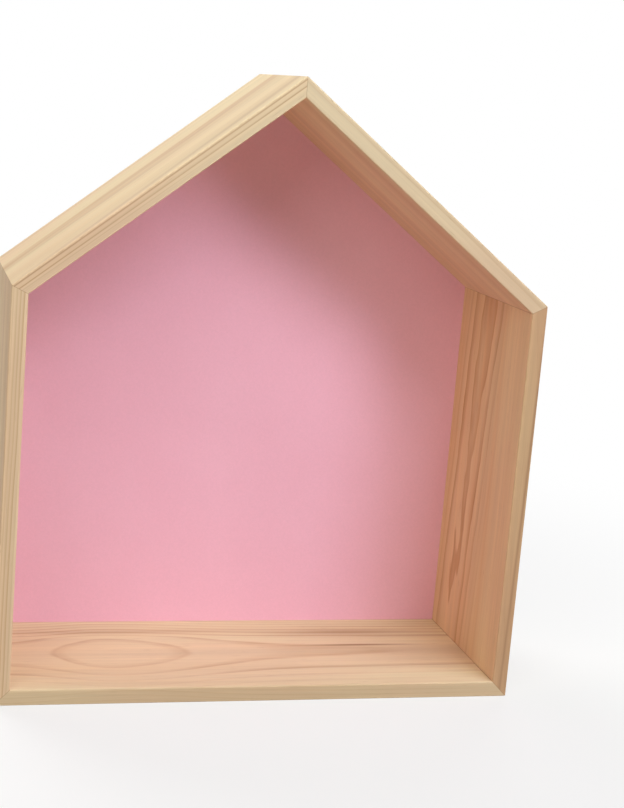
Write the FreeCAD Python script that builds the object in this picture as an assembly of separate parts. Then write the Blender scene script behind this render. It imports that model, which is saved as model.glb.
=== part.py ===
import FreeCAD
import Part
import math
import os

# House-shaped wall shelf: five pine boards mitred into a ring around a thin back panel.
# Millimetres. +Z is up, the open front faces -Y, the origin is the middle of the underside.

# Outline, measured over the outside of the boards.
shelf_width = 600.0
wall_height = 465.0
ridge_height = 700.0
shelf_depth = 220.0
board_thickness = 18.0
arris_radius = 1.5

# Back panel, held in a groove that runs round the inside of all five boards.
panel_thickness = 3.0
panel_setback = 6.0
groove_depth = 6.0
panel_face_clearance = 0.15
panel_edge_clearance = 1.0

# Beech biscuits glued across the mitres, one behind the other in each corner.
biscuit_length = 47.0
biscuit_width = 15.0
biscuit_thickness = 4.0
biscuit_from_inside = 8.0
biscuit_front_inset = 50.0
biscuit_rear_inset = 55.0
slot_cutter_radius = 50.0
slot_end_clearance = 0.8
slot_face_clearance = 0.05

# Keyhole hanger plates, let in flush in the back edges of the walls.
hanger_drop = 50.0
plate_length = 48.0
plate_width = 14.0
plate_thickness = 2.0
mortise_clearance = 0.15
entry_radius = 4.5
entry_drop = 5.0
keyhole_slot_radius = 2.3
keyhole_slot_rise = 6.0
pocket_clearance = 0.5
pocket_depth = 9.0

# Countersunk screws that hold the hanger plates.
screw_spacing = 36.0
screw_length = 16.0
screw_head_radius = 3.0
screw_shank_radius = 1.4
screw_tip_length = 3.0
countersink_clearance = 0.1
screw_hole_clearance = 0.2
pilot_clearance = 0.05
pilot_extra_depth = 1.0
recess_width = 0.8
recess_span = 3.4
recess_depth = 1.1

# How far a cutting shape runs out past the surface it opens, and how near counts as touching.
cut_overrun = 1.0
touch_tolerance = 0.001

# Places that follow from the sizes above.
front_y = -shelf_depth / 2
back_y = shelf_depth / 2
roof_pitch = math.atan2(ridge_height - wall_height, shelf_width / 2)
groove_back_y = back_y - panel_setback
groove_front_y = groove_back_y - panel_thickness - 2 * panel_face_clearance
panel_front_y = groove_front_y + panel_face_clearance
plate_front_y = back_y - plate_thickness
hanger_x = (shelf_width - board_thickness) / 2
hanger_z = wall_height - hanger_drop

# Corners in order round the outline; each board runs from one corner to the next.
corner_names = ["left_foot", "right_foot", "right_eave", "ridge", "left_eave"]
board_names = [
    "base_board",
    "right_wall_board",
    "right_roof_board",
    "left_roof_board",
    "left_wall_board",
]
biscuit_places = {
    "front": front_y + biscuit_front_inset,
    "rear": back_y - biscuit_rear_inset,
}
hanger_places = {"left": -hanger_x, "right": hanger_x}
screw_places = {"upper": screw_spacing / 2, "lower": -screw_spacing / 2}

depth_direction = FreeCAD.Vector(0, 1, 0)
into_wood = FreeCAD.Vector(0, -1, 0)


def house_outline(inset):
    """Five (x, z) corners of the house outline, moved in by an inset."""
    half_width = shelf_width / 2 - inset
    roof_drop = inset / math.cos(roof_pitch)
    eave = wall_height + inset * math.tan(roof_pitch) - roof_drop
    ridge = ridge_height - roof_drop
    feet = [(-half_width, inset), (half_width, inset)]
    return feet + [(half_width, eave), (0.0, ridge), (-half_width, eave)]


def prism(corners, front, back):
    """Solid between two depths with the given (x, z) corners."""
    points = [FreeCAD.Vector(x, front, z) for x, z in corners]
    face = Part.Face(Part.makePolygon(points + points[:1]))
    return face.extrude(depth_direction * (back - front))


def slot_prism(radius, low, high, front, back):
    """Solid between two depths with an upright, round-ended outline."""
    lower_end = Part.makeCylinder(radius, back - front, FreeCAD.Vector(0, front, low), depth_direction)
    upper_end = Part.makeCylinder(radius, back - front, FreeCAD.Vector(0, front, high), depth_direction)
    middle = prism([(-radius, low), (radius, low), (radius, high), (-radius, high)], front, back)
    return lower_end.fuse([middle, upper_end]).removeSplitter()


def rounded_ring():
    """The closed ring of all five boards before it is parted at the mitres."""
    block = prism(house_outline(0.0), front_y, back_y)
    block = block.makeFillet(arris_radius, block.Edges)
    hollow = prism(house_outline(board_thickness), front_y - cut_overrun, back_y + cut_overrun)
    ring = block.cut(hollow)
    return ring.makeFillet(arris_radius, mouth_edges(ring))


def mouth_edges(ring):
    """Edges of the ring where the hollow opens in the front face."""
    points = [FreeCAD.Vector(x, front_y, z) for x, z in house_outline(board_thickness)]
    mouth = Part.makePolygon(points + points[:1])
    middles = [(edge, Part.Vertex(edge.CenterOfMass)) for edge in ring.Edges]
    return [edge for edge, middle in middles if mouth.distToShape(middle)[0] < touch_tolerance]


def mitred_board(ring, index):
    """The length of the ring between two neighbouring mitres."""
    outer = house_outline(-cut_overrun)
    inner = house_outline(board_thickness + cut_overrun)
    after = (index + 1) % len(outer)
    corners = [outer[index], outer[after], inner[after], inner[index]]
    return ring.common(prism(corners, front_y - cut_overrun, back_y + cut_overrun))


def panel_groove():
    """Space the groove takes out of the boards."""
    return prism(house_outline(board_thickness - groove_depth), groove_front_y, groove_back_y)


def back_panel():
    """Thin panel that stands on the floor of the groove."""
    corners = house_outline(board_thickness - groove_depth + panel_edge_clearance)
    lowered = [(x, z - panel_edge_clearance) for x, z in corners]
    return prism(lowered, panel_front_y, panel_front_y + panel_thickness)


def lens(half_width, thickness):
    """Flat lens between two arcs of the slot cutter, lying in its own XY plane."""
    reach = slot_cutter_radius - half_width
    near = Part.makeCylinder(slot_cutter_radius, thickness, FreeCAD.Vector(0, -reach, -thickness / 2))
    far = Part.makeCylinder(slot_cutter_radius, thickness, FreeCAD.Vector(0, reach, -thickness / 2))
    return near.common(far)


def biscuit():
    """One biscuit with its two pointed ends cut square."""
    corner = FreeCAD.Vector(-biscuit_length / 2, -biscuit_width / 2, -biscuit_thickness / 2)
    blank = Part.makeBox(biscuit_length, biscuit_width, biscuit_thickness, corner)
    return blank.common(lens(biscuit_width / 2, biscuit_thickness))


def biscuit_slot():
    """Space cut for one biscuit in both boards of a mitre."""
    half_width = biscuit_width / 2 + slot_end_clearance
    return lens(half_width, biscuit_thickness + 2 * slot_face_clearance)


def across_mitre(shape, index, depth):
    """The shape laid across the mitre of one corner at one depth."""
    inner_x, inner_z = house_outline(board_thickness)[index]
    outer_x, outer_z = house_outline(0.0)[index]
    outward = FreeCAD.Vector(outer_x - inner_x, 0, outer_z - inner_z).normalize()
    centre = FreeCAD.Vector(inner_x, depth, inner_z) + outward * biscuit_from_inside
    turn = FreeCAD.Rotation(depth_direction, outward.cross(depth_direction), outward, "ZXY")
    placed = shape.copy()
    placed.Placement = FreeCAD.Placement(centre, turn)
    return placed


def hanger_plate():
    """Keyhole plate in the middle of the back plane, before it is moved to its wall."""
    end = (plate_length - plate_width) / 2
    plate = slot_prism(plate_width / 2, -end, end, plate_front_y, back_y)
    entry = FreeCAD.Vector(0, plate_front_y, -entry_drop)
    openings = [
        slot_prism(keyhole_slot_radius, -entry_drop, keyhole_slot_rise, plate_front_y, back_y),
        Part.makeCylinder(entry_radius, plate_thickness, entry, depth_direction),
    ]
    for height in screw_places.values():
        openings += screw_hole(height)
    return plate.cut(openings)


def screw_hole(height):
    """Round hole and countersink for one screw in the plate."""
    top = FreeCAD.Vector(0, back_y, height)
    hole_radius = screw_shank_radius + screw_hole_clearance
    mouth_radius = screw_head_radius + countersink_clearance
    hole = Part.makeCylinder(hole_radius, plate_thickness, top, into_wood)
    countersink = Part.makeCone(mouth_radius, hole_radius, mouth_radius - hole_radius, top, into_wood)
    return [hole, countersink]


def hanger_recess():
    """Space cut in the wall for the plate, its screws and the head of the wall screw."""
    end = (plate_length - plate_width) / 2
    pocket_front = plate_front_y - pocket_depth
    pocket_radius = entry_radius + pocket_clearance
    mortise_radius = plate_width / 2 + mortise_clearance
    recess = slot_prism(mortise_radius, -end, end, plate_front_y, back_y + cut_overrun)
    pocket = slot_prism(pocket_radius, -entry_drop, keyhole_slot_rise, pocket_front, back_y)
    pilot_radius = screw_shank_radius + pilot_clearance
    pilots = []
    for height in screw_places.values():
        start = FreeCAD.Vector(0, back_y, height)
        pilots.append(Part.makeCylinder(pilot_radius, screw_length + pilot_extra_depth, start, into_wood))
    return recess.fuse([pocket] + pilots)


def hanger_screw(height):
    """Countersunk screw with a cross recess, flush with the plate."""
    head_height = screw_head_radius - screw_shank_radius
    top = FreeCAD.Vector(0, back_y, height)
    tip_start = top + into_wood * (screw_length - screw_tip_length)
    head = Part.makeCone(screw_head_radius, screw_shank_radius, head_height, top, into_wood)
    shank = Part.makeCylinder(screw_shank_radius, screw_length - screw_tip_length, top, into_wood)
    tip = Part.makeCone(screw_shank_radius, 0, screw_tip_length, tip_start, into_wood)
    floor_y = back_y - recess_depth
    corner = FreeCAD.Vector(-recess_span / 2, floor_y, height - recess_width / 2)
    level_cut = Part.makeBox(recess_span, recess_depth, recess_width, corner)
    corner = FreeCAD.Vector(-recess_width / 2, floor_y, height - recess_span / 2)
    upright_cut = Part.makeBox(recess_width, recess_depth, recess_span, corner)
    return head.fuse([shank, tip]).removeSplitter().cut([level_cut, upright_cut])


def at_hanger(shape, x):
    """The shape moved to the hanger place of one wall."""
    return shape.translated(FreeCAD.Vector(x, 0, hanger_z))


def write(name, shape):
    """Save the one solid of a piece under its name."""
    shape.Solids[0].exportStep("parts/" + name + ".step")


def write_boards():
    """The five boards with their grooves, biscuit slots and hanger recesses."""
    ring = rounded_ring()
    slots = []
    for index in range(len(corner_names)):
        for depth in biscuit_places.values():
            slots.append(across_mitre(biscuit_slot(), index, depth))
    recesses = [at_hanger(hanger_recess(), x) for x in hanger_places.values()]
    for index, name in enumerate(board_names):
        board = mitred_board(ring, index)
        write(name, board.cut([panel_groove()] + slots + recesses))


def write_biscuits():
    """Two biscuits in each of the five mitres."""
    for index, corner in enumerate(corner_names):
        for place, depth in biscuit_places.items():
            write(corner + "_biscuit_" + place, across_mitre(biscuit(), index, depth))


def write_hangers():
    """A plate and two screws on each wall."""
    for side, x in hanger_places.items():
        write(side + "_hanger_plate", at_hanger(hanger_plate(), x))
        for place, height in screw_places.items():
            write(side + "_hanger_screw_" + place, at_hanger(hanger_screw(height), x))


os.makedirs("parts", exist_ok=True)
write_boards()
write("back_panel", back_panel())
write_biscuits()
write_hangers()
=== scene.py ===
"""Looks of a house-shaped wall shelf, dressed on its packed construction.

Five pine boards are mitred into a ring round a painted back panel, and two keyhole plates let
into the back edges of the walls hang it. Metres, +Z up, and the open front faces -Y.
"""

import logging
import math
from dataclasses import dataclass, field
from enum import Enum
from typing import List, Optional, Sequence, Tuple, Union

import bmesh
import bpy
from mathutils import Matrix, Vector


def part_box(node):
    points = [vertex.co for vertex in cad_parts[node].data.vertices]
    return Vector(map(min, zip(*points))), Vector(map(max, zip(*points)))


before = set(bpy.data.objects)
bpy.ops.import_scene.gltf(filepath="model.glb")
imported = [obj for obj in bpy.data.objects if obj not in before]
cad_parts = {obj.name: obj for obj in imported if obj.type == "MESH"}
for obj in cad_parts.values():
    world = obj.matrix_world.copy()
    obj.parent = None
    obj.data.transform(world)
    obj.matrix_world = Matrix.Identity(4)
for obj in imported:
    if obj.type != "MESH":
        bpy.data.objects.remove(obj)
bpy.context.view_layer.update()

log = logging.getLogger("house_shelf")

# How a screen carries a written colour over to linear light
SCREEN_FULL = 255
SCREEN_TOE = 0.04045
SCREEN_TOE_SLOPE = 12.92
SCREEN_OFFSET = 0.055
SCREEN_POWER = 2.4

# The value that a noise of three parts swings about
NOISE_MIDDLE = (0.5, 0.5, 0.5)

QUARTER_TURN = math.pi / 2
WIDE_LAMP = 2.4

Pair = Tuple[float, float]
Triple = Tuple[float, float, float]
Colour = Tuple[float, float, float, float]
Socket = bpy.types.NodeSocket
Feed = Union[Socket, float, Sequence[float]]


def srgb(red: int, green: int, blue: int) -> Colour:
    """Turn a screen colour into the linear colour that a shader takes.

    Args:
        red: Red, from 0 to 255.
        green: Green, from 0 to 255.
        blue: Blue, from 0 to 255.

    Returns:
        Linear red, green and blue, with an alpha of 1.
    """
    linear = []
    for part in (red, green, blue):
        share = part / SCREEN_FULL
        if share <= SCREEN_TOE:
            linear.append(share / SCREEN_TOE_SLOPE)
        else:
            linear.append(((share + SCREEN_OFFSET) / (1 + SCREEN_OFFSET)) ** SCREEN_POWER)
    return (*linear, 1.0)


class NodeSheet:
    """Lays out and links the nodes of one material or of the surround.

    The mixing node has sockets for numbers and vectors too, so its colours go by their places.
    """

    MIXED_COLOURS: Tuple[int, int] = (6, 7)
    MIXED_RESULT: int = 2

    def __init__(self, owner: Union[bpy.types.Material, bpy.types.World]) -> None:
        """Start with an empty sheet.

        Args:
            owner: What the sheet's nodes belong to.
        """
        self.owner = owner
        owner.use_nodes = True
        self.tree = owner.node_tree
        self.tree.nodes.clear()

    @classmethod
    def for_material(cls, name: str) -> "NodeSheet":
        """Start the sheet of a new material."""
        return cls(bpy.data.materials.new(name))

    def add(self, kind: str, **settings: object) -> bpy.types.Node:
        """Add one node.

        Args:
            kind: The node's type name.
            **settings: Properties to set on it.

        Returns:
            The new node.
        """
        node = self.tree.nodes.new(kind)
        for key, value in settings.items():
            setattr(node, key, value)
        return node

    def feed(self, socket: Socket, value: Feed) -> None:
        """Give an input its value, or link it where the value is another node's output.

        Args:
            socket: The input.
            value: Its value, or the output that feeds it.
        """
        if isinstance(value, Socket):
            self.tree.links.new(value, socket)
        else:
            socket.default_value = value

    def math(self, operation: str, first: Feed, second: Feed = 0.0) -> Socket:
        """Work out one sum on numbers.

        Args:
            operation: The operation's name.
            first: First number.
            second: Second number, where the operation takes one.

        Returns:
            The result's socket.
        """
        node = self.add("ShaderNodeMath", operation=operation)
        self.feed(node.inputs[0], first)
        self.feed(node.inputs[1], second)
        return node.outputs[0]

    def weigh(self, first: Feed, second: Feed, weights: Pair) -> Socket:
        """Add two numbers, each times its own weight.

        Args:
            first: First number.
            second: Second number.
            weights: How much each of them counts.

        Returns:
            The sum's socket.
        """
        parts = [self.math("MULTIPLY", part, weight) for part, weight in zip((first, second), weights)]
        return self.math("ADD", *parts)

    def vector(self, operation: str, first: Feed, second: Feed = (0.0, 0.0, 0.0)) -> bpy.types.Node:
        """Work out one sum on vectors.

        Args:
            operation: The operation's name.
            first: First vector.
            second: Second vector, where the operation takes one.

        Returns:
            The node, whose outputs are Vector and Value.
        """
        node = self.add("ShaderNodeVectorMath", operation=operation)
        self.feed(node.inputs[0], first)
        self.feed(node.inputs[1], second)
        return node

    def split(self, place: Feed) -> List[Socket]:
        """Take a place apart.

        Args:
            place: The place.

        Returns:
            The sockets of its three distances.
        """
        node = self.add("ShaderNodeSeparateXYZ")
        self.feed(node.inputs[0], place)
        return list(node.outputs)

    def stretch(self, place: Feed, factors: Sequence[float]) -> Socket:
        """Multiply a place by one factor for each axis."""
        return self.vector("MULTIPLY", place, factors).outputs["Vector"]

    def noise(self, place: Feed, seed: float, detail: float, roughness: float) -> bpy.types.Node:
        """Add a soft noise of unit scale.

        Args:
            place: Where it is read, already stretched to the grain of the noise.
            seed: The slice of the noise, so that two pieces differ.
            detail: Octaves of finer noise.
            roughness: How strong the finer octaves are.

        Returns:
            The node, whose outputs are Fac and Color.
        """
        node = self.add("ShaderNodeTexNoise", noise_dimensions="4D")
        self.feed(node.inputs["Vector"], place)
        self.feed(node.inputs["W"], seed)
        self.feed(node.inputs["Scale"], 1.0)
        self.feed(node.inputs["Detail"], detail)
        self.feed(node.inputs["Roughness"], roughness)
        return node

    def remap(self, value: Feed, source: Pair, target: Pair = (0.0, 1.0)) -> Socket:
        """Carry one range smoothly onto another, held at both ends.

        Args:
            value: The number to carry over.
            source: The range that it comes from.
            target: The range that it goes to.

        Returns:
            The result's socket.
        """
        node = self.add("ShaderNodeMapRange", interpolation_type="SMOOTHSTEP")
        self.feed(node.inputs["Value"], value)
        for name, number in zip(("From Min", "From Max", "To Min", "To Max"), (*source, *target)):
            self.feed(node.inputs[name], number)
        return node.outputs["Result"]

    def mix(self, share: Feed, first: Feed, second: Feed, blend: str = "MIX") -> Socket:
        """Mix two colours.

        Args:
            share: How much of the second colour shows.
            first: First colour.
            second: Second colour.
            blend: How they are mixed.

        Returns:
            The mixed colour's socket.
        """
        node = self.add("ShaderNodeMix", data_type="RGBA", blend_type=blend)
        self.feed(node.inputs[0], share)
        for place, colour in zip(self.MIXED_COLOURS, (first, second)):
            self.feed(node.inputs[place], colour)
        return node.outputs[self.MIXED_RESULT]

    def shade(self, colour: Feed, factor: Feed) -> Socket:
        """Darken or lighten a colour.

        Args:
            colour: The colour.
            factor: How much of it is left.

        Returns:
            The shaded colour's socket.
        """
        node = self.vector("SCALE", colour)
        self.feed(node.inputs["Scale"], factor)
        return node.outputs["Vector"]

    def ramp(self, value: Feed, stops: Sequence[Pair]) -> Socket:
        """Read a number off a hand-set curve of grey stops.

        Args:
            value: Where along the curve, from 0 to 1.
            stops: Pairs of place and height.

        Returns:
            The height's socket.
        """
        node = self.add("ShaderNodeValToRGB")
        node.color_ramp.interpolation = "EASE"
        elements = node.color_ramp.elements
        # The loop after this one sets where each element lies.
        while len(elements) < len(stops):
            elements.new(0.5)
        for element, (place, height) in zip(elements, stops):
            element.position = place
            element.color = (height, height, height, 1.0)
        self.feed(node.inputs["Fac"], value)
        return node.outputs["Color"]

    def bump(self, height: Feed, distance: float, strength: float) -> Socket:
        """Turn a height into a normal.

        Args:
            height: The relief, from 0 to 1.
            distance: The height in metres that 1 stands for.
            strength: How much of the relief shows.

        Returns:
            The normal's socket.
        """
        node = self.add("ShaderNodeBump")
        self.feed(node.inputs["Height"], height)
        self.feed(node.inputs["Distance"], distance)
        self.feed(node.inputs["Strength"], strength)
        return node.outputs["Normal"]

    def place(self) -> Socket:
        """Read the place on the piece, in the shelf's own frame."""
        return self.add("ShaderNodeTexCoord").outputs["Object"]

    def surface(self, **inputs: Feed) -> bpy.types.Material:
        """Close the sheet with one shader.

        Args:
            **inputs: The shader's inputs, with an underscore for each space in their names.

        Returns:
            The finished material.
        """
        shader = self.add("ShaderNodeBsdfPrincipled")
        for name, value in inputs.items():
            self.feed(shader.inputs[name.replace("_", " ")], value)
        output = self.add("ShaderNodeOutputMaterial")
        self.feed(output.inputs["Surface"], shader.outputs["BSDF"])
        return self.owner


@dataclass(frozen=True)
class Speckle:
    """A noise with so many spots to the metre along each axis."""

    spots: Triple
    seed: float
    detail: float = 2.0
    roughness: float = 0.5

    def node(self, sheet: NodeSheet, place: Feed, piece_seed: float = 0.0) -> bpy.types.Node:
        """Lay out the noise.

        Args:
            sheet: The material's nodes.
            place: Where it is read.
            piece_seed: Sets one piece apart from another.

        Returns:
            The noise's node, whose outputs are Fac and Color.
        """
        stretched = sheet.stretch(place, self.spots)
        return sheet.noise(stretched, self.seed + piece_seed, self.detail, self.roughness)

    def read(self, sheet: NodeSheet, place: Feed, piece_seed: float = 0.0) -> Socket:
        """Read the noise as one number, from 0 to 1."""
        return self.node(sheet, place, piece_seed).outputs["Fac"]


class Board(Enum):
    """A board of the ring, by the name of its node, in order round the outline."""

    BASE = "base_board"
    RIGHT_WALL = "right_wall_board"
    RIGHT_ROOF = "right_roof_board"
    LEFT_ROOF = "left_roof_board"
    LEFT_WALL = "left_wall_board"


@dataclass(frozen=True)
class Outline:
    """The ring's outline, over the outside of the boards, as far as their mitres would run.

    The eaves and the ridge are rounded a little on the boards, so their heights are given here.
    """

    width: float
    depth: float
    board_thickness: float
    wall_height: float = 0.465
    ridge_height: float = 0.700

    @classmethod
    def of_frame(cls) -> "Outline":
        """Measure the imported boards.

        Returns:
            The outline that they make.
        """
        base_low, base_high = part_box(Board.BASE.value)
        wall_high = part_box(Board.RIGHT_WALL.value)[1]
        return cls(
            width=2 * wall_high.x,
            depth=base_high.y - base_low.y,
            board_thickness=base_high.z - base_low.z,
        )

    def corners(self) -> List[Vector]:
        """List the outer corners.

        Returns:
            The corners in order, from the left foot to the left eave.
        """
        half = self.width / 2
        return [
            Vector((-half, 0.0, 0.0)),
            Vector((half, 0.0, 0.0)),
            Vector((half, 0.0, self.wall_height)),
            Vector((0.0, 0.0, self.ridge_height)),
            Vector((-half, 0.0, self.wall_height)),
        ]

    def mitre_slope(self, index: int) -> float:
        """Work out how far a corner's mitre runs along the board for each unit of thickness.

        Args:
            index: The corner's place in the order.

        Returns:
            The tangent of the mitre's angle from a square cut.
        """
        corners = self.corners()
        here = corners[index % len(corners)]
        before = corners[(index - 1) % len(corners)] - here
        after = corners[(index + 1) % len(corners)] - here
        return 1.0 / math.tan(before.angle(after) / 2)


@dataclass(frozen=True)
class Lie:
    """How a board lies: its own axes run along the grain, towards the wall and inwards."""

    middle: Vector
    turn: float
    length: float
    start_slope: float
    end_slope: float
    thickness: float

    @classmethod
    def of(cls, board: Board, outline: Outline) -> "Lie":
        """Find how a board lies in the ring.

        Args:
            board: The board.
            outline: The ring's outline.

        Returns:
            The board's lie.
        """
        corners = outline.corners()
        index = list(Board).index(board)
        start, end = corners[index], corners[(index + 1) % len(corners)]
        run = end - start
        inwards = Vector((-run.z, 0.0, run.x)).normalized()
        return cls(
            middle=(start + end) / 2 + inwards * outline.board_thickness / 2,
            turn=math.atan2(-run.z, run.x),
            length=run.length,
            start_slope=outline.mitre_slope(index),
            end_slope=outline.mitre_slope(index + 1),
            thickness=outline.board_thickness,
        )


@dataclass(frozen=True)
class Eye:
    """An oval of grain, where the rings come nearest to the face."""

    along: float
    reach_back: float
    reach_on: float
    rise: float


@dataclass(frozen=True)
class Streak:
    """A dark streak, which fades out over its size along the grain, across the board and inwards.

    It lies at a place on the board's own axes. As it runs on, a veer takes it across the board,
    towards the wall, and a slant takes it outwards.
    """

    at: Triple
    size: Triple
    share: float
    veer_deg: float = 0.0
    slant_deg: float = 0.0


@dataclass(frozen=True)
class Season:
    """How late wood comes on and ends within a ring, by place through the ring's year.

    The rise is a share of the way from the first late wood to its peak, and how much shows there.
    The end is a place near the close of the year, and how much still shows.
    """

    late_from: float = 0.42
    late_peak: float = 0.93
    early_share: float = 0.04
    onset_share: float = 0.12
    rise: Pair = (0.70, 0.62)
    end: Pair = (0.99, 0.10)

    def stops(self) -> Tuple[Pair, ...]:
        """List how much late wood shows through the year.

        Returns:
            Pairs of place and share.
        """
        way, share_there = self.rise
        return (
            (0.0, self.early_share),
            (self.late_from, self.onset_share),
            (self.late_from + (self.late_peak - self.late_from) * way, share_there),
            (self.late_peak, 1.0),
            self.end,
        )


@dataclass(frozen=True)
class Cut:
    """How a board was sawn from its log, on the board's own axes.

    The heart lies across and below the middle of the board, and leans across as it runs on. The
    rings crowd from the steep place on towards the wall. Years picks which rings are the strong
    ones. The figure is full up to the first calm place across the board and faint beyond the second.
    The tone tints the whole board. It is partly painted light, as each board's tone was set to how
    brightly that board shows under the light. The painted edge shade darkens and tints the front and
    back edges for the weaker light on the front faces, and fades out round the arris between two depths.
    """

    heart_across: float
    heart_below: float
    ring_gap: float
    ring_start: float
    seed: float
    years: float = 0.0
    vigour: Pair = (0.22, 0.85)
    season: Season = Season()
    lean: float = 0.0
    taper: float = 0.0
    steep: float = 0.0
    steep_from: float = -0.20
    wander: float = 0.004
    ripple: float = 0.16
    ripple_spots: float = 7.0
    band: float = 0.3
    calm: Pair = (-0.20, -0.30)
    # Partly painted light: each board's tone was set to how brightly that board shows under the light.
    tone: Colour = (1.0, 1.0, 1.0, 1.0)
    # Painted shade: a darker, tinted tone for the front and back edges.
    painted_edge_shade: Colour = (0.86, 0.89, 0.92, 1.0)
    edge_fade: Pair = (0.0015, 0.0002)
    eye: Optional[Eye] = None
    streaks: Tuple[Streak, ...] = ()


@dataclass(frozen=True)
class PineFinish:
    """Planed and sanded pine, bare or with a thin matt oil.

    A window is the stretch of a noise that counts. It is carried onto the shade, range or share
    that goes with it. The arris fades are distances into the board.
    """

    early: Colour = srgb(237, 213, 173)
    early_pink: Colour = srgb(233, 200, 164)
    band: Colour = srgb(212, 168, 122)
    late: Colour = srgb(188, 136, 88)
    canal: Colour = srgb(150, 102, 62)
    glue: Colour = srgb(140, 98, 62)
    glue_width: float = 0.0005
    glue_share: float = 0.55
    resin_and_painted_shade: Colour = srgb(150, 98, 58)
    arris_fade: Pair = (0.0026, 0.0012)
    # Sanding wear and a painted highlight along the arrises.
    arris_wear_and_highlight: Pair = (1.0, 1.08)
    calm_share: float = 0.2
    fibre: Speckle = Speckle(spots=(9.0, 620.0, 620.0), seed=3.1, detail=3.0, roughness=0.6)
    drift: Speckle = Speckle(spots=(1.6, 70.0, 70.0), seed=5.7, detail=3.0, roughness=0.6)
    cloud: Speckle = Speckle(spots=(2.5, 9.0, 9.0), seed=7.3)
    stripe: Speckle = Speckle(spots=(0.7, 17.0, 17.0), seed=8.4)
    pore: Speckle = Speckle(spots=(38.0, 1500.0, 1500.0), seed=9.9, detail=1.0)
    ebb: Speckle = Speckle(spots=(3.5, 60.0, 60.0), seed=12.6)
    sway: Speckle = Speckle(spots=(2.6, 3.0, 3.0), seed=0.0, roughness=0.45)
    ripple_spots_across: float = 45.0
    ripple_seed: float = 1.7
    fibre_window: Pair = (0.2, 0.8)
    fibre_shade: Pair = (0.94, 1.04)
    drift_window: Pair = (0.25, 0.75)
    drift_shade: Pair = (0.93, 1.05)
    break_window: Pair = (0.3, 0.6)
    break_range: Pair = (0.55, 1.0)
    cloud_window: Pair = (0.35, 0.65)
    stripe_window: Pair = (0.46, 0.66)
    pore_window: Pair = (0.68, 0.78)
    pore_share: float = 0.45
    ebb_window: Pair = (0.3, 0.7)
    ebb_range: Pair = (0.5, 1.1)
    ripple_window: Pair = (0.2, 0.8)
    gloss_range: Pair = (0.50, 0.68)
    late_gloss: float = 0.08
    specular: float = 0.35
    relief_weights: Pair = (0.7, 0.3)
    relief: float = 0.00006
    relief_strength: float = 0.6

    def material(self, name: str, lie: Lie, cut: Cut, depth: float) -> bpy.types.Material:
        """Make the material of one board, as a solid figure that runs through it.

        Args:
            name: The material's name.
            lie: How the board lies.
            cut: How it was sawn.
            depth: The board's depth, from its front edge to the wall.

        Returns:
            The material.
        """
        sheet = NodeSheet.for_material(name)
        place = self._board_place(sheet, lie)
        swung = self._wander(sheet, place, cut)
        late = self._rings(sheet, place, swung, cut)
        fibre = self.fibre.read(sheet, place, cut.seed)
        drift = self.drift.read(sheet, place, cut.seed)
        cloud = self.cloud.read(sheet, place, cut.seed)
        stripe = self.stripe.read(sheet, place, cut.seed)
        pore = self.pore.read(sheet, place, cut.seed)

        ground = sheet.mix(sheet.remap(cloud, self.cloud_window), self.early, self.early_pink)
        striped = sheet.remap(stripe, self.stripe_window, (0.0, cut.band))
        ground = sheet.mix(striped, ground, self.band)
        ground = sheet.mix(late, ground, self.late)
        ground = sheet.mix(self._streaks(sheet, swung, drift, cut), ground, self.resin_and_painted_shade)
        pored = sheet.remap(pore, self.pore_window, (0.0, self.pore_share))
        ground = sheet.mix(pored, ground, self.canal)
        ground = sheet.shade(ground, sheet.remap(drift, self.drift_window, self.drift_shade))
        ground = sheet.shade(ground, sheet.remap(fibre, self.fibre_window, self.fibre_shade))
        # Painted light: the board's tone is partly painted light, and the edge's tone is painted shade.
        tone = sheet.mix(self._edge(sheet, place, cut, depth), cut.tone, cut.painted_edge_shade)
        ground = sheet.mix(1.0, ground, tone, "MULTIPLY")
        # Sanding wear and a painted highlight along the arrises.
        ground = sheet.shade(ground, self._arris(sheet, place, lie, depth))
        ground = sheet.mix(self._seam(sheet, place, lie), ground, self.glue)

        relief = sheet.weigh(fibre, late, self.relief_weights)
        rough = sheet.remap(fibre, self.fibre_window, self.gloss_range)
        return sheet.surface(
            Base_Color=ground,
            Roughness=sheet.math("SUBTRACT", rough, sheet.math("MULTIPLY", late, self.late_gloss)),
            Specular_IOR_Level=self.specular,
            Normal=sheet.bump(relief, self.relief, self.relief_strength),
        )

    def _board_place(self, sheet: NodeSheet, lie: Lie) -> Socket:
        """Read the place on the board's own axes, from its middle.

        Args:
            sheet: The material's nodes.
            lie: How the board lies.

        Returns:
            The place's socket.
        """
        mapping = sheet.add("ShaderNodeMapping", vector_type="TEXTURE")
        sheet.feed(mapping.inputs["Vector"], sheet.place())
        sheet.feed(mapping.inputs["Location"], lie.middle)
        sheet.feed(mapping.inputs["Rotation"], (0.0, lie.turn, 0.0))
        return mapping.outputs["Vector"]

    def _wander(self, sheet: NodeSheet, place: Socket, cut: Cut) -> Socket:
        """Let the place sway a little across the board, as the grain does.

        Args:
            sheet: The material's nodes.
            place: The place on the board's own axes.
            cut: How the board was sawn.

        Returns:
            The swayed place's socket.
        """
        noise = self.sway.node(sheet, place, cut.seed).outputs["Color"]
        swing = sheet.vector("SUBTRACT", noise, NOISE_MIDDLE).outputs["Vector"]
        swing = sheet.stretch(swing, (0.0, cut.wander, cut.wander))
        return sheet.vector("ADD", place, swing).outputs["Vector"]

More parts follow.
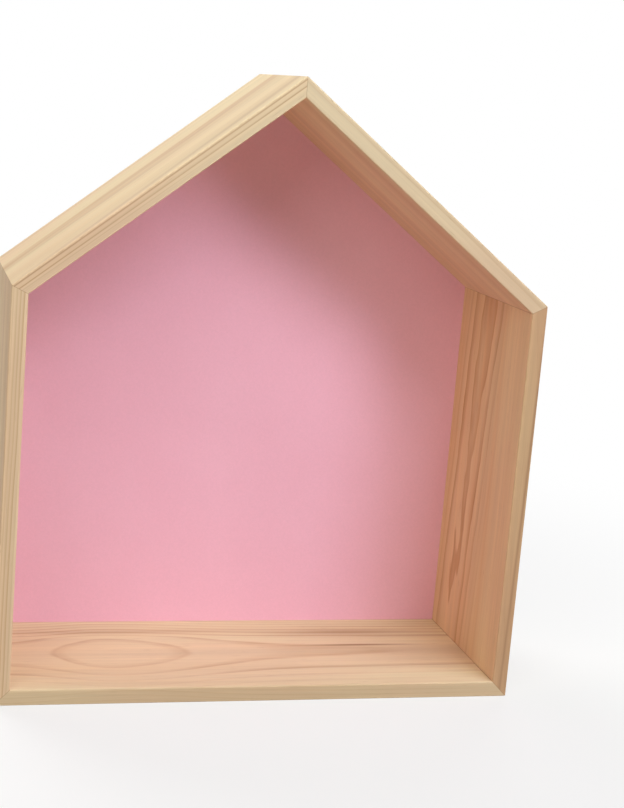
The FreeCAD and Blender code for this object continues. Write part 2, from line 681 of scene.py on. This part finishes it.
    def _rings(self, sheet: NodeSheet, place: Socket, swung: Socket, cut: Cut) -> Socket:
        """Grow the year rings about the log's heart.

        Args:
            sheet: The material's nodes.
            place: The place on the board's own axes.
            swung: The same place, swayed as the grain is.
            cut: How the board was sawn.

        Returns:
            How much late wood shows.
        """
        along, across, _ = sheet.split(place)
        leaning = sheet.add("ShaderNodeCombineXYZ")
        sheet.feed(leaning.inputs["Y"], sheet.math("MULTIPLY", along, -cut.lean))
        heart = (0.0, cut.heart_across, cut.heart_below)
        from_heart = sheet.vector("SUBTRACT", swung, heart).outputs["Vector"]
        from_heart = sheet.vector("ADD", from_heart, leaning.outputs["Vector"]).outputs["Vector"]
        radius = sheet.vector("LENGTH", sheet.stretch(from_heart, (0.0, 1.0, 1.0))).outputs["Value"]
        radius = sheet.math("ADD", radius, sheet.math("MULTIPLY", along, cut.taper))
        beyond = sheet.math("MAXIMUM", sheet.math("SUBTRACT", across, cut.steep_from), 0.0)
        radius = sheet.math("ADD", radius, sheet.math("MULTIPLY", beyond, cut.steep))
        if cut.eye is not None:
            radius = sheet.math("SUBTRACT", radius, self._swell(sheet, along, cut.eye))

        spots = (cut.ripple_spots, self.ripple_spots_across, self.ripple_spots_across)
        ripple = Speckle(spots, self.ripple_seed).read(sheet, place, cut.seed)
        count = sheet.math("ADD", sheet.math("DIVIDE", radius, cut.ring_gap), cut.ring_start)
        rippling = sheet.remap(ripple, self.ripple_window, (-cut.ripple, cut.ripple))
        count = sheet.math("ADD", count, rippling)
        vigour = sheet.add("ShaderNodeTexWhiteNoise", noise_dimensions="1D")
        sheet.feed(vigour.inputs["W"], sheet.math("ADD", sheet.math("FLOOR", count), cut.years))
        strength = sheet.remap(vigour.outputs["Value"], (0.0, 1.0), cut.vigour)
        strength = sheet.math("MULTIPLY", strength, sheet.remap(across, cut.calm, (1.0, self.calm_share)))
        ebb = self.ebb.read(sheet, place, cut.seed)
        strength = sheet.math("MULTIPLY", strength, sheet.remap(ebb, self.ebb_window, self.ebb_range))
        through_year = sheet.math("FRACT", count)
        return sheet.math("MULTIPLY", sheet.ramp(through_year, cut.season.stops()), strength)

    def _streaks(self, sheet: NodeSheet, swung: Socket, drift: Socket, cut: Cut) -> Socket:
        """Gather the dark streaks of a board, and on the base a patch of painted shade.

        Args:
            sheet: The material's nodes.
            swung: The place on the board's own axes, swayed as the grain is.
            drift: The noise that breaks the streaks up.
            cut: How the board was sawn.

        Returns:
            How much of the resin colour shows, which also paints the shade patch on the base.
        """
        total: Feed = 0.0
        for streak in cut.streaks:
            turn = (0.0, math.radians(streak.slant_deg), math.radians(streak.veer_deg))
            offset = sheet.add("ShaderNodeMapping", vector_type="TEXTURE")
            sheet.feed(offset.inputs["Vector"], swung)
            sheet.feed(offset.inputs["Location"], streak.at)
            sheet.feed(offset.inputs["Rotation"], turn)
            sheet.feed(offset.inputs["Scale"], streak.size)
            fade = sheet.vector("DOT_PRODUCT", offset.outputs[0], offset.outputs[0]).outputs["Value"]
            mark = sheet.math("EXPONENT", sheet.math("MULTIPLY", fade, -1.0))
            total = sheet.math("ADD", total, sheet.math("MULTIPLY", mark, streak.share))
        return sheet.math("MULTIPLY", total, sheet.remap(drift, self.break_window, self.break_range))

    def _swell(self, sheet: NodeSheet, along: Socket, eye: Eye) -> Socket:
        """Lift the rings towards the face round an eye.

        Args:
            sheet: The material's nodes.
            along: The place along the board.
            eye: The eye.

        Returns:
            How far the rings are lifted.
        """
        offset = sheet.math("SUBTRACT", along, eye.along)
        back = sheet.math("DIVIDE", sheet.math("MINIMUM", offset, 0.0), eye.reach_back)
        onward = sheet.math("DIVIDE", sheet.math("MAXIMUM", offset, 0.0), eye.reach_on)
        squares = [sheet.math("MULTIPLY", part, part) for part in (back, onward)]
        spread = sheet.math("ADD", *squares)
        fade = sheet.math("EXPONENT", sheet.math("MULTIPLY", spread, -1.0))
        return sheet.math("MULTIPLY", fade, eye.rise)

    def _edge(self, sheet: NodeSheet, place: Socket, cut: Cut, depth: float) -> Socket:
        """Mark the front and back edges, which are darkened and tinted as painted shade for the weaker
        light on the front faces.

        Args:
            sheet: The material's nodes.
            place: The place on the board's own axes.
            cut: How the board was sawn.
            depth: The board's depth.

        Returns:
            How much of the painted edge shade shows.
        """
        _, across, _ = sheet.split(place)
        into_board = sheet.math("SUBTRACT", depth / 2, sheet.math("ABSOLUTE", across))
        return sheet.remap(into_board, cut.edge_fade)

    def _arris(self, sheet: NodeSheet, place: Socket, lie: Lie, depth: float) -> Socket:
        """Rub the long arrises pale, as sanding and handling do, and lighten them further as a painted
        highlight where the rounded arris catches the light.

        Args:
            sheet: The material's nodes.
            place: The place on the board's own axes.
            lie: How the board lies.
            depth: The board's depth.

        Returns:
            How much lighter the wood is there.
        """
        _, across, inwards = sheet.split(place)
        from_edge = sheet.math("SUBTRACT", depth / 2, sheet.math("ABSOLUTE", across))
        from_face = sheet.math("SUBTRACT", lie.thickness / 2, sheet.math("ABSOLUTE", inwards))
        return sheet.remap(sheet.math("ADD", from_edge, from_face), self.arris_fade, self.arris_wear_and_highlight)

    def _seam(self, sheet: NodeSheet, place: Socket, lie: Lie) -> Socket:
        """Draw the fine glue line along both mitres.

        Args:
            sheet: The material's nodes.
            place: The place on the board's own axes.
            lie: How the board lies.

        Returns:
            How much of the glue line shows.
        """
        lines = []
        for towards, slope in ((-1.0, lie.start_slope), (1.0, lie.end_slope)):
            face = Vector((towards, 0.0, slope))
            reach = (lie.length - lie.thickness * slope) / 2 / face.length
            gap = sheet.vector("DOT_PRODUCT", place, face.normalized()).outputs["Value"]
            from_mitre = sheet.math("SUBTRACT", reach, gap)
            lines.append(sheet.remap(from_mitre, (0.0, self.glue_width), (self.glue_share, 0.0)))
        return sheet.math("MAXIMUM", *lines)


@dataclass(frozen=True)
class PanelFinish:
    """Thin hardboard, rolled with matt pink paint on its face and left bare behind.

    The paint has clouds and the stipple of the roller. The bare back has fibres, felted patches
    and dark shives.
    """

    paint: Colour = srgb(246, 189, 211)
    paint_deep: Colour = srgb(243, 184, 206)
    bare: Colour = srgb(172, 133, 95)
    bare_dark: Colour = srgb(140, 102, 70)
    fleck: Colour = srgb(112, 78, 52)
    cloud: Speckle = Speckle(spots=(7.0, 7.0, 5.0), seed=4.2, detail=3.0, roughness=0.55)
    stipple: Speckle = Speckle(spots=(420.0, 420.0, 420.0), seed=5.5, roughness=0.6)
    fibre: Speckle = Speckle(spots=(900.0, 900.0, 520.0), seed=7.1, detail=4.0, roughness=0.7)
    felt: Speckle = Speckle(spots=(34.0, 34.0, 26.0), seed=8.3, detail=3.0, roughness=0.6)
    shive: Speckle = Speckle(spots=(260.0, 260.0, 900.0), seed=9.6, detail=1.0)
    cloud_window: Pair = (0.3, 0.7)
    stipple_window: Pair = (0.25, 0.75)
    stipple_shade: Pair = (0.975, 1.02)
    fibre_window: Pair = (0.3, 0.6)
    felt_window: Pair = (0.3, 0.7)
    felt_shade: Pair = (0.93, 1.05)
    shive_window: Pair = (0.70, 0.80)
    shive_share: float = 0.5
    gloss_window: Pair = (0.2, 0.8)
    gloss_range: Pair = (0.58, 0.74)
    specular: float = 0.3
    relief_weights: Pair = (0.6, 0.4)
    relief: float = 0.00008
    relief_strength: float = 0.5

    def material(self, name: str, painted_until: float) -> bpy.types.Material:
        """Make the panel's material.

        Args:
            name: The material's name.
            painted_until: Where, towards the wall, the paint ends.

        Returns:
            The material.
        """
        sheet = NodeSheet.for_material(name)
        place = sheet.place()
        _, towards_wall, _ = sheet.split(place)
        behind = sheet.math("GREATER_THAN", towards_wall, painted_until)

        cloud = self.cloud.read(sheet, place)
        stipple = self.stipple.read(sheet, place)
        fibre = self.fibre.read(sheet, place)
        felt = self.felt.read(sheet, place)
        shive = self.shive.read(sheet, place)

        paint = sheet.mix(sheet.remap(cloud, self.cloud_window), self.paint, self.paint_deep)
        paint = sheet.shade(paint, sheet.remap(stipple, self.stipple_window, self.stipple_shade))
        bare = sheet.mix(sheet.remap(fibre, self.fibre_window), self.bare_dark, self.bare)
        bare = sheet.shade(bare, sheet.remap(felt, self.felt_window, self.felt_shade))
        bare = sheet.mix(sheet.remap(shive, self.shive_window, (0.0, self.shive_share)), bare, self.fleck)
        rough = sheet.remap(stipple, self.gloss_window, self.gloss_range)
        relief = sheet.weigh(stipple, fibre, self.relief_weights)
        return sheet.surface(
            Base_Color=sheet.mix(behind, paint, bare),
            Roughness=rough,
            Specular_IOR_Level=self.specular,
            Normal=sheet.bump(relief, self.relief, self.relief_strength),
        )


@dataclass(frozen=True)
class ZincFinish:
    """Bright zinc on pressed steel, a little clouded and scratched."""

    bright: Colour = srgb(205, 208, 212)
    dull: Colour = srgb(158, 162, 168)
    cloud: Speckle = Speckle(spots=(180.0, 180.0, 180.0), seed=8.8, detail=4.0, roughness=0.6)
    scratch: Speckle = Speckle(spots=(2600.0, 900.0, 120.0), seed=10.8)
    cloud_window: Pair = (0.35, 0.7)
    gloss_window: Pair = (0.3, 0.7)
    gloss_range: Pair = (0.24, 0.42)
    scratch_window: Pair = (0.55, 0.8)
    scratch_range: Pair = (0.0, 0.12)
    relief: float = 0.00003
    relief_strength: float = 0.4

    def material(self, name: str) -> bpy.types.Material:
        """Make the zinc's material.

        Args:
            name: The material's name.

        Returns:
            The material.
        """
        sheet = NodeSheet.for_material(name)
        place = sheet.place()
        cloud = self.cloud.read(sheet, place)
        scratch = self.scratch.read(sheet, place)
        clouded = sheet.remap(cloud, self.gloss_window, self.gloss_range)
        scratched = sheet.remap(scratch, self.scratch_window, self.scratch_range)
        return sheet.surface(
            Base_Color=sheet.mix(sheet.remap(cloud, self.cloud_window), self.bright, self.dull),
            Metallic=1.0,
            Roughness=sheet.math("ADD", clouded, scratched),
            Normal=sheet.bump(scratch, self.relief, self.relief_strength),
        )


@dataclass(frozen=True)
class BeechFinish:
    """Pressed beech, with short flecks along the grain."""

    ground: Colour = srgb(208, 170, 128)
    fleck: Colour = srgb(160, 112, 74)
    flecks: Speckle = Speckle(spots=(500.0, 160.0, 500.0), seed=6.1, detail=3.0, roughness=0.6)
    fleck_window: Pair = (0.5, 0.72)
    gloss_window: Pair = (0.3, 0.7)
    gloss_range: Pair = (0.6, 0.75)
    relief: float = 0.0001
    relief_strength: float = 0.4

    def material(self, name: str) -> bpy.types.Material:
        """Make the beech's material.

        Args:
            name: The material's name.

        Returns:
            The material.
        """
        sheet = NodeSheet.for_material(name)
        fleck = self.flecks.read(sheet, sheet.place())
        return sheet.surface(
            Base_Color=sheet.mix(sheet.remap(fleck, self.fleck_window), self.ground, self.fleck),
            Roughness=sheet.remap(fleck, self.gloss_window, self.gloss_range),
            Normal=sheet.bump(fleck, self.relief, self.relief_strength),
        )


def dress(node: str, material: bpy.types.Material) -> None:
    """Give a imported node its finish.

    Args:
        node: The node's name.
        material: The finish.
    """
    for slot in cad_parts[node].material_slots:
        slot.material = material
    log.info("dressed %s with %s", node, material.name)


@dataclass
class BoardRing:
    """The five mitred pine boards."""

    outline: Outline = field(default_factory=Outline.of_frame)
    finish: PineFinish = field(default_factory=PineFinish)

    def dress(self) -> None:
        """Dress each board with the figure of its own cut."""
        cuts = {
            Board.BASE: self._base_cut(),
            Board.RIGHT_WALL: self._right_wall_cut(),
            Board.RIGHT_ROOF: self._right_roof_cut(),
            Board.LEFT_ROOF: self._left_roof_cut(),
            Board.LEFT_WALL: self._left_wall_cut(),
        }
        for board, cut in cuts.items():
            lie = Lie.of(board, self.outline)
            dress(board.value, self.finish.material("pine_" + board.value, lie, cut, self.outline.depth))

    def _base_cut(self) -> Cut:
        """Saw the base, with an eye on its upper face, dark streaks beside it and a patch of painted
        shade by the right wall.

        Returns:
            The base's cut.
        """
        face = self.outline.board_thickness / 2
        return Cut(
            heart_across=-0.004,
            heart_below=-0.25,
            ring_gap=0.0050,
            ring_start=0.956,
            seed=1.0,
            years=2629.0,
            vigour=(0.10, 0.80),
            season=Season(late_from=0.60, late_peak=0.88),
            taper=0.0044,
            steep=0.25,
            steep_from=0.045,
            wander=0.0015,
            ripple=0.05,
            band=0.25,
            calm=(-0.04, -0.09),
            # Partly painted light: the base's tone was set to how the base shows under the light.
            tone=(1.05, 1.20, 1.27, 1.0),
            painted_edge_shade=(0.820, 0.830, 0.830, 1.0),
            eye=Eye(along=-0.156, reach_back=0.075, reach_on=0.120, rise=0.0074),
            streaks=(
                Streak(at=(0.150, 0.013, face), size=(0.065, 0.0028, 0.004), share=0.85),
                Streak(at=(0.150, 0.057, face), size=(0.090, 0.0095, 0.004), share=0.50),
                Streak(at=(-0.130, 0.064, face), size=(0.170, 0.0090, 0.004), share=0.36),
                # Painted shade: a broad darker patch by the right wall, where the wall's shade falls on
                # the base.
                Streak(at=(0.260, -0.006, face), size=(0.080, 0.0200, 0.004), share=0.18),
            ),
        )

    def _right_wall_cut(self) -> Cut:
        """Saw the right wall, with a tall arch up its inner face and a dark line on its front edge.

        Returns:
            The right wall's cut.
        """
        front = -self.outline.depth / 2
        return Cut(
            heart_across=0.034,
            heart_below=-0.12,
            ring_gap=0.0050,
            ring_start=0.066,
            seed=2.0,
            years=17457.0,
            vigour=(0.10, 0.75),
            lean=-0.082,
            taper=-0.0059,
            wander=0.003,
            ripple=0.20,
            ripple_spots=12.0,
            band=0.5,
            calm=(-0.02, -0.06),
            tone=(1.03, 1.03, 1.00, 1.0),
            painted_edge_shade=(0.68, 0.58, 0.51, 1.0),
            streaks=(
                Streak(at=(0.0, front, -0.0050), size=(0.4, 0.004, 0.0016), share=0.40, slant_deg=1.15),
                Streak(at=(0.0, front, -0.0085), size=(0.4, 0.004, 0.0040), share=0.15),
            ),
        )

    def _right_roof_cut(self) -> Cut:
        """Saw the right roof, plain and faintly figured.

        Returns:
            The right roof's cut.
        """
        return Cut(
            heart_across=0.150,
            heart_below=-0.18,
            ring_gap=0.0034,
            ring_start=0.5,
            seed=3.0,
            years=39.0,
            vigour=(0.06, 0.30),
            taper=0.004,
            tone=(1.0, 1.0, 1.02, 1.0),
            painted_edge_shade=(0.846, 0.885, 0.940, 1.0),
        )

    def _left_roof_cut(self) -> Cut:
        """Saw the left roof, with long straight lines on its front edge and stripes on its top.

        Returns:
            The left roof's cut.
        """
        front = -self.outline.depth / 2
        top = -self.outline.board_thickness / 2
        return Cut(
            heart_across=0.0,
            heart_below=-20.0,
            ring_gap=0.0055,
            ring_start=0.280,
            seed=4.0,
            years=5790.0,
            vigour=(0.10, 0.72),
            season=Season(late_from=0.68, late_peak=0.86),
            steep=0.0214,
            wander=0.0006,
            ripple=0.07,
            ripple_spots=3.0,
            band=0.2,
            # Partly painted light: the left roof is lifted to the brightness of its lit top.
            tone=(1.08, 1.11, 1.09, 1.0),
            painted_edge_shade=(0.875, 0.890, 0.920, 1.0),
            # Painted highlight: the edge's shade starts late, so the pale arris shows bright.
            edge_fade=(0.0005, 0.0001),
            streaks=(
                Streak(at=(0.0, front, -0.0045), size=(0.6, 0.005, 0.0035), share=0.05),
                Streak(at=(0.0, front, -0.0066), size=(0.4, 0.005, 0.0009), share=0.34, slant_deg=-0.1),
                Streak(at=(0.0, front, -0.0014), size=(0.3, 0.005, 0.0007), share=0.20),
                Streak(at=(0.1, front, 0.0024), size=(0.2, 0.005, 0.0005), share=0.22, slant_deg=0.2),
                Streak(at=(-0.140, -0.079, top), size=(0.100, 0.0160, 0.003), share=0.20, veer_deg=-5.0),
                Streak(at=(0.0, -0.091, top), size=(0.260, 0.0075, 0.002), share=0.26, veer_deg=-4.5),
                Streak(at=(0.0, 0.098, top), size=(0.350, 0.0050, 0.003), share=0.16),
            ),
        )

    def _left_wall_cut(self) -> Cut:
        """Saw the left wall, with fine straight rings.

        Returns:
            The left wall's cut.
        """
        return Cut(
            heart_across=0.030,
            heart_below=-0.20,
            ring_gap=0.0032,
            ring_start=0.7,
            seed=5.0,
            years=65.0,
            taper=0.010,
            painted_edge_shade=(0.920, 0.960, 1.000, 1.0),
        )


@dataclass
class BackPanel:
    """The thin painted panel in its groove."""

    node: str = "back_panel"
    bare_skin: float = 0.0003
    finish: PanelFinish = field(default_factory=PanelFinish)

    def dress(self) -> None:
        """Paint the face and leave the back bare."""
        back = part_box(self.node)[1].y
        dress(self.node, self.finish.material("painted_hardboard", back - self.bare_skin))


@dataclass
class Hangers:
    """The keyhole plates and their screws."""

    sides: Tuple[str, ...] = ("left", "right")
    screws: Tuple[str, ...] = ("upper", "lower")
    plate_finish: ZincFinish = field(default_factory=ZincFinish)
    screw_finish: ZincFinish = ZincFinish(bright=srgb(214, 194, 142), dull=srgb(172, 148, 96))

    def dress(self) -> None:
        """Dress the plates in bright zinc and the screws in yellow zinc."""
        bright_zinc = self.plate_finish.material("bright_zinc")
        yellow_zinc = self.screw_finish.material("yellow_zinc")
        for side in self.sides:
            dress(f"{side}_hanger_plate", bright_zinc)
            for screw in self.screws:
                dress(f"{side}_hanger_screw_{screw}", yellow_zinc)


@dataclass
class MitreBiscuits:
    """The beech biscuits glued across the mitres."""

    corners: Tuple[str, ...] = ("left_foot", "right_foot", "right_eave", "ridge", "left_eave")
    rows: Tuple[str, ...] = ("front", "rear")
    finish: BeechFinish = field(default_factory=BeechFinish)

    def dress(self) -> None:
        """Dress every biscuit."""
        beech = self.finish.material("pressed_beech")
        for corner in self.corners:
            for row in self.rows:
                dress(f"{corner}_biscuit_{row}", beech)


@dataclass(frozen=True)
class Softbox:
    """A round soft lamp, hung on a bearing from the middle of the shelf and aimed at it.

    A level of 1 shows a surface that faces the lamp in the colour that it is written in.
    """

    name: str
    bearing_deg: float
    height_deg: float
    level: float
    tint: Triple = (1.0, 1.0, 1.0)
    size: float = 1.4
    distance: float = 4.0

    def hang(self, aim: Vector) -> None:
        """Hang the lamp.

        Args:
            aim: The point that it is aimed at.
        """
        bearing = math.radians(self.bearing_deg)
        height = math.radians(self.height_deg)
        level_reach = math.cos(height)
        towards = Vector(
            (math.sin(bearing) * level_reach, -math.cos(bearing) * level_reach, math.sin(height))
        )
        lamp = bpy.data.lights.new(self.name, "AREA")
        lamp.shape = "DISK"
        lamp.size = self.size
        lamp.energy = self.level * math.pi**2 * self.distance**2
        lamp.color = self.tint
        holder = bpy.data.objects.new(self.name, lamp)
        holder.location = aim + towards * self.distance
        holder.rotation_euler = towards.to_track_quat("Z", "Y").to_euler()
        bpy.context.scene.collection.objects.link(holder)
        log.info("hung the lamp %s", self.name)


@dataclass
class Studio:
    """A pale floor, soft lamps and a white surround."""

    floor_radius: float = 14.0
    floor_segments: int = 96
    floor_bounce: Colour = srgb(188, 179, 165)
    shadow_catch: Colour = srgb(148, 148, 148)
    shadow_share: float = 0.35
    shadow_reach: Pair = (0.45, 1.3)
    surround_light: float = 0.010
    surround_tint: Colour = (1.0, 0.75, 0.40, 1.0)
    white: Colour = (1.0, 1.0, 1.0, 1.0)
    aim: Triple = (0.0, 0.0, 0.30)
    lamps: Tuple[Softbox, ...] = (
        Softbox("key", bearing_deg=16.0, height_deg=38.0, level=0.313, tint=(0.94, 0.967, 1.0)),
        Softbox("high_right", bearing_deg=54.0, height_deg=50.0, level=0.257, tint=(0.97, 1.0, 1.0)),
        Softbox("low_right", bearing_deg=32.0, height_deg=18.0, level=0.252, tint=(0.81, 0.85, 1.0)),
        Softbox(
            "left_fill",
            bearing_deg=-35.0,
            height_deg=30.0,
            level=0.324,
            tint=(1.0, 0.965, 0.836),
            size=WIDE_LAMP,
        ),
        Softbox(
            "back_left",
            bearing_deg=-150.0,
            height_deg=50.0,
            level=0.525,
            tint=(1.0, 0.98, 0.95),
            size=WIDE_LAMP,
        ),
        Softbox("back_right", bearing_deg=150.0, height_deg=15.0, level=0.368, size=WIDE_LAMP),
    )

    def build(self) -> None:
        """Lay the floor, hang the lamps and light the surround."""
        self._floor()
        self._surround()
        for lamp in self.lamps:
            lamp.hang(Vector(self.aim))
        bpy.context.scene.view_settings.view_transform = "Standard"

    def _seen_directly(self, sheet: NodeSheet) -> Socket:
        """Tell rays that show the background from rays that carry light.

        Args:
            sheet: The nodes of the floor or of the surround.

        Returns:
            The socket that is 1 for rays that show the background.
        """
        path = sheet.add("ShaderNodeLightPath")
        seen = sheet.math("MAXIMUM", path.outputs["Is Camera Ray"], path.outputs["Is Glossy Ray"])
        return sheet.math("MAXIMUM", seen, path.outputs["Is Transmission Ray"])

    def _floor(self) -> None:
        """Lay the floor, white but for the shelf's soft shadow."""
        shape = bmesh.new()
        bmesh.ops.create_circle(
            shape, cap_ends=True, segments=self.floor_segments, radius=self.floor_radius
        )
        mesh = bpy.data.meshes.new("floor")
        shape.to_mesh(mesh)
        shape.free()
        floor = bpy.data.objects.new("floor", mesh)
        bpy.context.scene.collection.objects.link(floor)

        sheet = NodeSheet.for_material("pale_floor")
        seen = self._seen_directly(sheet)
        away = sheet.vector("LENGTH", sheet.place()).outputs["Value"]
        near = sheet.remap(away, self.shadow_reach, (1.0, 0.0))
        glow = sheet.add("ShaderNodeEmission")
        white = sheet.math("SUBTRACT", 1.0, sheet.math("MULTIPLY", near, self.shadow_share))
        sheet.feed(glow.inputs["Strength"], sheet.math("MULTIPLY", white, seen))
        matt = sheet.add("ShaderNodeBsdfDiffuse")
        catch = sheet.shade(self.shadow_catch[:3], near)
        sheet.feed(matt.inputs["Color"], sheet.mix(seen, self.floor_bounce, catch))
        both = sheet.add("ShaderNodeAddShader")
        sheet.feed(both.inputs[0], matt.outputs[0])
        sheet.feed(both.inputs[1], glow.outputs[0])
        output = sheet.add("ShaderNodeOutputMaterial")
        sheet.feed(output.inputs["Surface"], both.outputs[0])
        mesh.materials.append(sheet.owner)
        log.info("laid the floor")

    def _surround(self) -> None:
        """Light the shelf evenly from all round, and show white behind it."""
        world = bpy.data.worlds.new("surround")
        bpy.context.scene.world = world
        sheet = NodeSheet(world)
        seen = self._seen_directly(sheet)
        fill = sheet.add("ShaderNodeBackground")
        sheet.feed(fill.inputs["Color"], self.surround_tint)
        sheet.feed(fill.inputs["Strength"], self.surround_light)
        behind = sheet.add("ShaderNodeBackground")
        sheet.feed(behind.inputs["Color"], self.white)
        blend = sheet.add("ShaderNodeMixShader")
        for socket, value in zip(blend.inputs, (seen, fill.outputs[0], behind.outputs[0])):
            sheet.feed(socket, value)
        output = sheet.add("ShaderNodeOutputWorld")
        sheet.feed(output.inputs["Surface"], blend.outputs[0])
        log.info("lit the surround")


@dataclass(frozen=True)
class Viewpoint:
    """Where the photograph was taken from."""

    stand: Triple = (-0.4309, -1.7025, 0.6899)
    turn_deg: float = 13.093
    dip_deg: float = 10.425
    roll_deg: float = 4.158
    lens_mm: float = 68.46
    sensor_mm: float = 36.0
    shift: Pair = (0.10, -0.05)

    def set_up(self) -> None:
        """Set up the camera."""
        camera = bpy.data.cameras.new("viewpoint")
        camera.lens = self.lens_mm
        camera.sensor_width = self.sensor_mm
        camera.shift_x, camera.shift_y = self.shift
        holder = bpy.data.objects.new("viewpoint", camera)
        aim = Matrix.Rotation(math.radians(-self.turn_deg), 4, "Z")
        tilt = Matrix.Rotation(QUARTER_TURN - math.radians(self.dip_deg), 4, "X")
        roll = Matrix.Rotation(math.radians(self.roll_deg), 4, "Z")
        holder.matrix_world = Matrix.Translation(self.stand) @ aim @ tilt @ roll
        bpy.context.scene.collection.objects.link(holder)
        bpy.context.scene.camera = holder
        log.info("set up the viewpoint")


def main() -> None:
    """Dress the shelf piece by piece and set it in the studio."""
    logging.basicConfig(level=logging.INFO, format="%(name)s: %(message)s")
    for assembly in (BoardRing(), BackPanel(), Hangers(), MitreBiscuits()):
        assembly.dress()
    Studio().build()
    Viewpoint().set_up()


if __name__ == "__main__":
    main()
